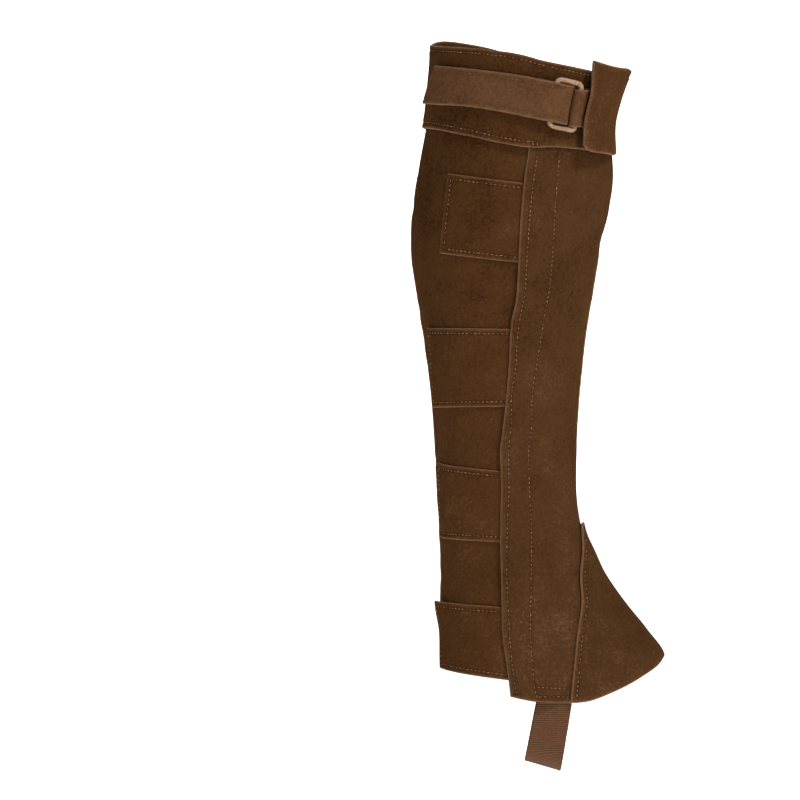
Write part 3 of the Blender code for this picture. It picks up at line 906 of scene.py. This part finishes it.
def makeInstepPiece():
    grid = laid(
        (instepEdgeTurn, lambda z: -instepEdgeTurn(z)), lambda turn: -181.0 - 0.08 * abs(turn),
        lambda turn: read(instepHemLine, "height", abs(turn)),
        lambda turn, z: clear + 0.4 * ease(-188, -180, z), paces(190, 2.6), paces(105, 2.4),
    )
    rows = [edgeRow(grid, "left", 3.4, (7.0, 0.6)), edgeRow(grid, "right", 3.2, (7.0, 0.6))]
    looks = [instepSuede, rawEdge]
    cut = ("left", "right", "bottom", "top")
    made = makeCloth("instepPiece", grid, panel["wall"], looks, cut=cut, rows=rows, worn=0.4, sunk=0.36)
    declareSheet("instep_piece")
    sew("instepStitches", made, thread, seed=7)


print("panels")
makeBackPanel()
makeFrontPanel()
makeInnerPanel()
makeInstepPiece()


tabCorners = chart(
    "topBackX topBackZ topFrontX topFrontZ lowFrontX lowFrontZ lowBackX lowBackZ stand cutLong cutHigh",
    [
        (-36.3, 42, 25.9, 34, 22, -16, -41.6, -8.3, 0, 70, 52),
        (-49, -56.3, 17.6, -57.2, 14.4, -106.2, -45.3, -106.9, 0.4, 82, 53),
        (-42.2, -142.7, 11.8, -149.5, 10.8, -193.6, -41, -190, 0, 71, 49),
        (-41, -231, 11.8, -235.6, 14.5, -282.6, -40.5, -273.6, 3, 73, 48),
    ],
)
tabCloth = {"wall": 1.4, "inset": 3.0, "spacing": 2.2}


def makeTab(number):
    get = {name: values[number] for name, values in tabCorners.items()}
    grid = []
    for v in paces(50, tabCloth["spacing"]):
        ends = [mix(get["top" + end], get["low" + end], v) for end in ("BackX", "BackZ", "FrontX", "FrontZ")]
        backX, backZ, frontX, frontZ = ends
        line = []
        for u in paces(66, tabCloth["spacing"]):
            height = mix(backZ, frontZ, u)
            turn = mix(min(turnAt(backX, backZ), 176.0), turnAt(frontX, frontZ), u)
            stand = get["stand"] * (1 - ease(0, 0.3, u)) * (1 - 0.85 * ease(0, 0.5, v))
            line.append(facing(turn, height, clear + stand))
        grid.append(line)
    inset = tabCloth["inset"]
    rows = [
        edgeRow(grid, "top", inset, (inset, 2.0)),
        edgeRow(grid, "left", inset, (inset, inset)),
        edgeRow(grid, "bottom", inset, (inset, 2.0)),
    ]
    name = f"tab{number + 1}"
    cut = ("left", "top", "bottom")
    looks = [darkSuede, rawEdge]
    made = makeCloth(name, grid, tabCloth["wall"], looks, cut=cut, rows=rows, worn=0.35, sunk=0.3)
    declareSheet(f"tab_{number + 1}")
    sew(f"{name}Stitches", made, thread, seed=11 + number)


patchLine = chart(
    "height rear fore",
    [
        (36, -8, 9), (34.5, -15.5, 19.5), (31, -26.5, 31), (25, -35.8, 39), (16, -41, 44.8),
        (5, -42.9, 47.2), (-19, -42.2, 44.8), (-69, -39, 37.1), (-130, -34.2, 28.8), (-161, -32, 23.2),
        (-171, -26.2, 16), (-176, -19, 8), (-178, -13, -0.5),
    ],
)


patch = {"wall": 1.4, "clear": 0.6, "inset": 3.6, "steps": 110}


def makeWearPatch():
    top, bottom = patchLine["height"][0], patchLine["height"][-1]
    grid = []
    for step in range(patch["steps"] + 1):
        height = mix(top, bottom, (1 - math.cos(math.pi * step / patch["steps"])) / 2)
        fore = turnAt(read(patchLine, "fore", height), height, -1)
        rear = turnAt(read(patchLine, "rear", height), height, -1)
        line = []
        for u in paces(95, 2.4):
            turn = mix(fore, rear, u)
            line.append(facing(turn, height, patch["clear"]))
        grid.append(line)
    outline = []
    for side, way in (("top", 1), ("right", 1), ("bottom", -1), ("left", -1)):
        outline += [p for p, n in sideOf(grid, side)][::way][1 if outline else 0 :]
    middle = Vector((0, 0, 0))
    for p in outline:
        middle += p / len(outline)
    smooth = trimmed(outline, 0, 0)
    row = []
    for k, p in enumerate(smooth):
        ahead = (smooth[(k + 3) % len(smooth)] - smooth[k - 3]).normalized()
        turn = math.degrees(math.atan2(-p.y, p.x - (legBack(p.z) + legFront(p.z)) / 2))
        inward = outward(turn, p.z).cross(ahead)
        if inward.dot(middle - p) < 0:
            inward.negate()
        row.append(p + inward * patch["inset"])
    row.append(row[0].copy())
    looks = [darkSuede, rawEdge]
    cut = ("left", "right", "top", "bottom")
    made = makeCloth("wearPatch", grid, patch["wall"], looks, cut=cut, rows=[row], worn=0.4, sunk=0.34)
    declareSheet("wear_patch")
    sew("patchStitches", made, thread, seed=23)


print("tabs and patch")
for number in range(4):
    makeTab(number)
makeWearPatch()


bandLine = chart(
    "turn top bottom lift",
    [
        (54.5, 114.6, 60, 10.6), (52.5, 114.3, 57.8, 10.5), (49, 113.3, 56.4, 10.1),
        (44, 112, 55.7, 9.2), (38, 111.1, 55.4, 7.4), (30, 110.5, 55, 4.6), (20, 110, 54.4, 2.4),
        (10, 109.2, 54.4, 1), (0, 108.8, 54.8, 0.5), (-20, 108.8, 55.8, 0.6), (-45, 108.3, 57.5, 0.6),
        (-60, 108.7, 59, 0.6), (-72, 110.8, 60.2, 0.6), (-95, 117, 64, 0.6), (-120, 124, 67.5, 0.6),
        (-150, 127.2, 70, 0.6), (-180, 124.4, 71.5, 0.6), (-210, 123.1, 70.6, 0.6),
        (-240, 121.4, 66.2, 0.6), (-250, 120, 64, 0.5), (-258, 118.8, 62.2, 1.4),
        (-266, 117, 60.6, 2.6), (-276, 113.9, 59, 3.2), (-290, 111, 59.2, 3.1), (-303, 108.6, 58.4, 2),
        (-315, 106.6, 57.6, 0.9), (-330, 105.6, 57, 0.4),
    ],
)
band = {"wall": 2.0, "topInset": 2.7, "lowInset": 3.3, "endLean": 3.5}
bandTop = lookup(lambda turn: read(bandLine, "top", turn), -332.0, 56.0, 0.25)
bandBottom = lookup(lambda turn: read(bandLine, "bottom", turn), -332.0, 56.0, 0.25)
bandLift = lookup(lambda turn: read(bandLine, "lift", turn), -332.0, 56.0, 0.25)


def bandFace(turn):
    return bandLift(turn - 360) + band["wall"]


def makeKneeBand():
    turns = [54.5, 54.1, 53.6, 53, 52.3, 51.5, 50.7, 49.9, 49, 48, 46.5, 45, 43, 41, 39, 37, 35, 33, 31]
    turns += [mix(29, -330, i / 168) for i in range(169)]
    grid = []
    for v in paces(54, 2.4):
        line = []
        for turn in turns:
            height = mix(bandTop(turn), bandBottom(turn), v)
            leaning = turn + band["endLean"] * ease(92, 114, height) * ease(35, 54.5, turn)
            line.append(facing(leaning, height, bandLift(turn)))
        grid.append(line)

    # the end piece has its edges turned under, so it stands up thick there
    def turnedHem(j, i, gap):
        if turns[i] < -10:
            return 0.0
        place = grid[j][i][0]
        fromEnd = (place - grid[j][0][0]).length
        fromTop = (place - grid[0][i][0]).length
        roll = 1.0 * (1 - ease(3.0, 5.2, fromEnd)) - 0.35 * math.exp(-(((fromEnd - 5.4) / 0.9) ** 2))
        fold = -0.4 * math.exp(-(((fromTop - 4.2) / 0.8) ** 2)) + 0.3 * (1 - ease(2.4, 4.2, fromTop))
        return roll + fold * ease(-10, 5, turns[i]) * ease(3, 6, fromEnd)

    top = edgeRow(grid, "top", band["topInset"], (62.0, 2.0))
    bottom = edgeRow(grid, "bottom", band["lowInset"], (62.0, 55.0))
    looks = [bandSuede, rawEdge]
    cut = ("left", "top", "bottom")
    rows = [top, bottom]
    for across in (16.4, 18.9):
        line = []
        for height in heightsDown(62.6, 57.4, 0.5):
            turn = turnAt(across, height)
            line.append(onLeg(turn, height, bandFace(turn)))
        rows.append(line)
    worn = {"worn": 0.45, "sunk": 0.36}
    made = makeCloth("kneeBand", grid, band["wall"], looks, cut=cut, rows=rows, shape=turnedHem, **worn)
    declareSheet("knee_band")
    sew("bandStitches", made, thread, seed=31)


print("knee band")
makeKneeBand()


loopShape = {
    "turn": 66.7, "height": 86.4, "width": 15.5, "length": 31.0, "corner": 3.0, "wire": 1.6,
    "lean": -2.0, "slope": 12.0,
}
strapShape = {
    "wall": 1.5, "root": 150.0, "tip": 157.6, "slant": 12.5, "fold": 0.4, "settled": 30.0,
    "tipFree": 14.0, "tipLift": 0.4, "inset": 2.8,
}
keeperShape = {"wall": 1.4, "top": 97.0, "bottom": 72.2, "root": 41.0, "loose": 0.9}
strapLine = chart(
    "turn top bottom",
    [
        (180, 111.5, 86.9), (150, 110.5, 86), (125, 108.6, 85), (100, 105.5, 81.2), (85, 103, 77.9),
        (62, 98.7, 73),
    ],
)
barOut = clear + strapShape["wall"] + clear + loopShape["wire"]
overBar = barOut + loopShape["wire"] + clear


# a point near the loop: along runs back from its middle, up is height, and both lean with its bars
def nearLoop(along, up, out):
    height = loopShape["height"] + up
    leaning = along - up * math.tan(math.radians(loopShape["lean"]))
    turn = moved(loopShape["turn"], loopShape["height"], leaning)
    return onLeg(turn, height, bandFace(turn) + out)


def foldedOver(at, low, high, way, count):
    radius, middle = (high - low) / 2, (high + low) / 2
    angles = [math.pi * i / count - math.pi / 2 for i in range(1, count)]
    return [(at + way * radius * math.cos(a), middle + radius * math.sin(a)) for a in angles]


# a strip of cloth along its middle line, as a grid of its inner face
def stripGrid(points, wall):
    return [[(p - n * wall / 2, n) for p, n in line] for line in withNormals(points)]


def makeStrap():
    perMm = degreesPerMm(100, loopShape["height"])
    root = (strapShape["root"] - loopShape["turn"]) / perMm
    tip = (strapShape["tip"] - loopShape["turn"]) / perMm
    low, high = clear + strapShape["wall"] / 2, overBar + strapShape["wall"] / 2
    resting = 2 * clear + 1.5 * strapShape["wall"]
    fold = strapShape["fold"]
    lower = [(mix(root, fold, i / 34), low) for i in range(35)]
    upper = []
    for t in [i / 44 * 0.93 for i in range(45)] + [0.945, 0.96, 0.97, 0.98, 0.988, 0.995, 1.0]:
        along = mix(fold, tip, t)
        settle = ease(loopShape["width"] / 2 + 2 * loopShape["wire"], strapShape["settled"], along)
        lifted = strapShape["tipLift"] * ease(tip - strapShape["tipFree"], tip, along)
        upper.append((along, mix(high, resting, settle) + lifted))
    route = lower + foldedOver(fold, low, high, -1, 12) + upper
    points = []
    for v in paces(25, 1.8, edgeNear[:10]):
        line = []
        for number, (along, out) in enumerate(route):
            if number >= len(lower):
                along += strapShape["slant"] * (v - 0.5) * ease(tip - 30, tip, along)
            turn = moved(loopShape["turn"], loopShape["height"], along)
            height = mix(read(strapLine, "top", turn), read(strapLine, "bottom", turn), v)
            line.append(nearLoop(along, height - loopShape["height"], out))
        points.append(line)
    grid = stripGrid(points[::-1], strapShape["wall"])  # so that the upper layer's face is the outer one
    upperGrid = [line[35 + 14 :] for line in grid]
    inset = strapShape["inset"]
    rows = [
        edgeRow(upperGrid, "top", inset, (1.0, inset)),
        edgeRow(upperGrid, "bottom", inset, (1.0, inset)),
        edgeRow(upperGrid, "right", inset, (inset, inset)),
    ]
    looks = [strapSuede, rawEdge]
    cut = ("top", "bottom", "right")
    made = makeCloth("loopStrap", grid, strapShape["wall"], looks, cut=cut, rows=rows, worn=0.35, sunk=0.14)
    declareSheet("strap")
    sew("strapStitches", made, strapThread, seed=41)


def makeKeeper():
    bar = -loopShape["width"] / 2 + keeperShape["loose"]
    end = (keeperShape["root"] - loopShape["turn"]) / degreesPerMm(50, loopShape["height"])
    low, high = clear + keeperShape["wall"] / 2, overBar + keeperShape["wall"] / 2
    tucked = 2 * clear + 1.5 * keeperShape["wall"]
    below = [(mix(end, bar, i / 12), low) for i in range(13)]
    above = [(mix(bar, end, i / 16), mix(high, tucked, ease(0.05, 0.5, i / 16))) for i in range(17)]
    route = below + foldedOver(bar, low, high, 1, 14) + above
    points = []
    for v in paces(25, 1.8, edgeNear[:8]):
        up = mix(keeperShape["top"], keeperShape["bottom"], v) - loopShape["height"]
        points.append([nearLoop(along, up, out) for along, out in route])
    grid = stripGrid(points, keeperShape["wall"])
    looks = [strapSuede, rawEdge]
    made = makeCloth("keeper", grid, keeperShape["wall"], looks, cut=("top", "bottom"), worn=0.3)
    declareSheet("ring_keeper")


# a plane with bevelled corners, its outline made into wire and then bent with the band
def makeLoop():
    bpy.ops.object.select_all(action="DESELECT")
    bpy.ops.mesh.primitive_plane_add(size=1.0)
    wire = bpy.context.active_object
    wire.name = "loop"
    editAll()
    bpy.ops.transform.resize(value=(loopShape["width"], loopShape["length"], 1))
    bpy.ops.mesh.bevel(offset=loopShape["corner"], segments=7, affect="VERTICES")
    bpy.ops.mesh.select_all(action="SELECT")
    bpy.ops.mesh.delete(type="ONLY_FACE")
    bpy.ops.object.mode_set(mode="OBJECT")
    for edge in wire.data.edges:
        a, b = (wire.data.vertices[v].co for v in edge.vertices)
        edge.select = (a - b).length > 4
    for vertex in wire.data.vertices:
        vertex.select = False
    bpy.ops.object.mode_set(mode="EDIT")
    bpy.ops.mesh.select_mode(type="EDGE")
    bpy.ops.mesh.subdivide(number_cuts=9)
    bpy.ops.mesh.select_mode(type="VERT")
    bpy.ops.object.mode_set(mode="OBJECT")
    bpy.ops.object.convert(target="CURVE")
    wire.data.bevel_depth = loopShape["wire"]
    wire.data.bevel_resolution = 5
    bpy.ops.object.convert(target="MESH")
    slope = math.sin(math.radians(loopShape["slope"]))
    for vertex in wire.data.vertices:
        x, y, z = vertex.co
        vertex.co = nearLoop(x, y + x * slope, barOut + z) * mm
    editAll()
    bpy.ops.mesh.remove_doubles(threshold=0.00002)
    bpy.ops.mesh.normals_make_consistent(inside=False)
    bpy.ops.object.mode_set(mode="OBJECT")
    wire.data.shade_smooth()
    wire.data.materials.clear()
    wire.data.materials.append(tanLoop)
    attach(wire, "root")
    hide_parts("ring")


print("strap, keeper and loop")
makeLoop()
makeStrap()
makeKeeper()


# two raw edges sewn together, standing out of a seam
def makeWelt(name, node, seamAt, top, bottom, stands, outerFirst):
    wall = seam["weltWall"]
    grid = []
    outs = [0.0, 0.35, 0.6, 0.8, 0.92, 1.0]
    for step in range(201):
        height = mix(top, bottom, step / 200)
        shown = ease(flap["bandZone"], flap["bandZone"] - 8, height) * ease(bottom + 6, bottom + 20, height)
        turn = seamAt(height)
        roundIt = (form(turn - 0.5, height) - form(turn + 0.5, height)).normalized()
        full = mix(-clear, stands, shown) + 0.22 * shown * noise.noise(Vector((height / 6, turn, 0)))
        line = []
        for t in outs:
            out = mix(-panel["wall"], full, t)
            slim = 0.88 - 0.08 * t
            place = onLeg(turn, height, out)
            line.append((place - roundIt * wall * slim / 2, roundIt * slim))
        grid.append(line)
    made = makeCloth(name, grid, wall, [weltEdge, frontSuede, weltEdge], cut=("right",), worn=0.3)
    piece = made["piece"]
    half = (len(grid) - 1) * (len(outs) - 1)
    start = 0 if outerFirst else half
    for k in range(start, start + half):
        piece.data.polygons[k].material_index = 1  # napped on the side towards the outer face of the leg
    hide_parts(node)
    print(piece.name, "faces", len(piece.data.polygons))


print("welts")
makeWelt("backWelt", "back_welt", lambda z: seam["backTurn"], 120.0, -271.0, 4.0, True)
makeWelt("frontWelt", "front_welt", frontSeamTurn, 106.0, -197.0, 2.2, False)


footStrap = {
    "wall": 1.3, "width": 22.6, "drop": 38.7, "tilt": 16.3, "top": -283.0, "hem": -296.5, "xTop": 31.0,
    "xBottom": 23.7, "roundness": 3.2,
}


def makeFootStrap():
    inside = -panel["wall"] - clear - footStrap["wall"]
    hem = footStrap["hem"]
    sewn = [mix(footStrap["top"], hem, i / 6) for i in range(7)]
    lines = []
    for v in paces(footStrap["width"], 1.6, edgeNear[:6]):
        aside = (v - 0.5) * footStrap["width"]
        ends = []
        for side in (1, -1):
            line = []
            for height in sewn:
                turn = turnAt(footStrap["xTop"] + aside, height, side)
                line.append(onLeg(turn, height, inside))
            ends.append(line)
        outer, inner = ends
        run = []
        for i in range(1, 90):
            angle = math.pi * i / 90
            swing = math.copysign(abs(math.cos(angle)) ** (2 / footStrap["roundness"]), math.cos(angle))
            fall = math.sin(angle) ** (2 / footStrap["roundness"])
            x = mix(outer[-1].x, footStrap["xBottom"] + aside, fall)
            y = mix(inner[-1].y, outer[-1].y, (swing + 1) / 2)
            drop = footStrap["drop"] + math.tan(math.radians(footStrap["tilt"])) * aside
            run.append(Vector((x, y, hem - drop * fall)))
        lines.append(trimmed(outer + run + inner[::-1], 0, 0))
    count = min(len(line) for line in lines)
    points = []
    for line in lines:
        total = lengths(line)
        points.append([alongLine(line, total, total[-1] * i / (count - 1)) for i in range(count)])
    grid = withNormals(points[::-1])

    def selvedge(j, i, gap):
        return 0.18 * (1 - ease(0.9, 2.0, gap))

    looks = [webbing, webbing]
    cut = ("top", "bottom")
    made = makeCloth("footStrap", grid, footStrap["wall"], looks, cut=cut, worn=0.25, shape=selvedge)
    declareSheet("foot_strap")


print("foot strap")
makeFootStrap()


studio = {
    "floor": -0.3475, "distance": 18.0, "frameWidth": 0.512, "centreX": -0.0678, "centreZ": -0.1024,
    "ambient": 0.58, "shade": 0.2,
}


def makeCamera():
    data = bpy.data.cameras.new("camera")
    camera = placed("camera", data)
    data.sensor_width = 36.0
    data.lens = 36.0 * studio["distance"] / studio["frameWidth"]
    data.clip_end = 120.0
    camera.location = (studio["centreX"], -studio["distance"], studio["centreZ"])
    camera.rotation_euler = (math.radians(90), 0, 0)
    bpy.context.scene.camera = camera


def makeLight(name, place, aim, size, watts, colour=(1, 1, 1)):
    data = bpy.data.lights.new(name, "AREA")
    data.shape = "DISK"
    data.size = size
    data.energy = watts
    data.color = colour
    lamp = placed(name, data)
    lamp.location = place
    lamp.rotation_euler = (Vector(aim) - Vector(place)).to_track_quat("-Z", "Y").to_euler()


# a wide pale floor; the world behind it is the same white
def makeStage():
    bpy.ops.object.select_all(action="DESELECT")
    bpy.ops.mesh.primitive_plane_add(size=90.0, location=(0, 0, studio["floor"]))
    floor = bpy.context.active_object
    floor.name = "floor"
    material, tree, shader = newMaterial("paleFloor", **{"Roughness": 0.9, "Specular IOR Level": 0.1})
    speck = noiseNode(tree, 3.0, 2.0)
    colour = mixColour(tree, speck, (0.88, 0.88, 0.875, 1), (0.92, 0.92, 0.915, 1))
    link(tree, colour, shader.inputs["Base Color"])
    shader.inputs["Emission Color"].default_value = (1, 1, 1, 1)
    shader.inputs["Emission Strength"].default_value = 0.9
    floor.data.materials.append(material)


# white where the camera sees it, dimmer where it lights the chap
def makeWorld():
    world = bpy.data.worlds.new("world")
    bpy.context.scene.world = world
    world.use_nodes = True
    tree = world.node_tree
    background = tree.nodes["Background"]
    background.inputs[0].default_value = (1, 1, 1, 1)
    sky = node(tree, "ShaderNodeTexCoord")
    towards = node(tree, "ShaderNodeVectorMath", {1: (0.55, -0.55, 0.63)}, operation="DOT_PRODUCT")
    link(tree, sky.outputs["Generated"], towards.inputs[0])
    soft = remap(tree, towards.outputs["Value"], -0.7, 0.9, studio["shade"], studio["ambient"])
    rays = node(tree, "ShaderNodeLightPath")
    seen = mathNode(tree, "MULTIPLY", rays.outputs["Is Camera Ray"], 2.0)
    link(tree, mathNode(tree, "MAXIMUM", soft, seen), background.inputs[1])


makeCamera()
makeLight("key", (1.8, -2.5, 3.2), (0, 0, -0.1), 0.7, 155, (1.0, 0.98, 0.955))
makeLight("fill", (0.3, -3.2, -0.1), (0, 0, -0.15), 2.0, 8)
makeLight("back", (0.7, 2.4, 1.8), (0, 0, -0.1), 1.6, 24)
makeLight("inner", (1.0, 2.4, 0.5), (0, 0, -0.1), 1.8, 30)
makeStage()
makeWorld()
bpy.context.scene.view_settings.view_transform = "Standard"
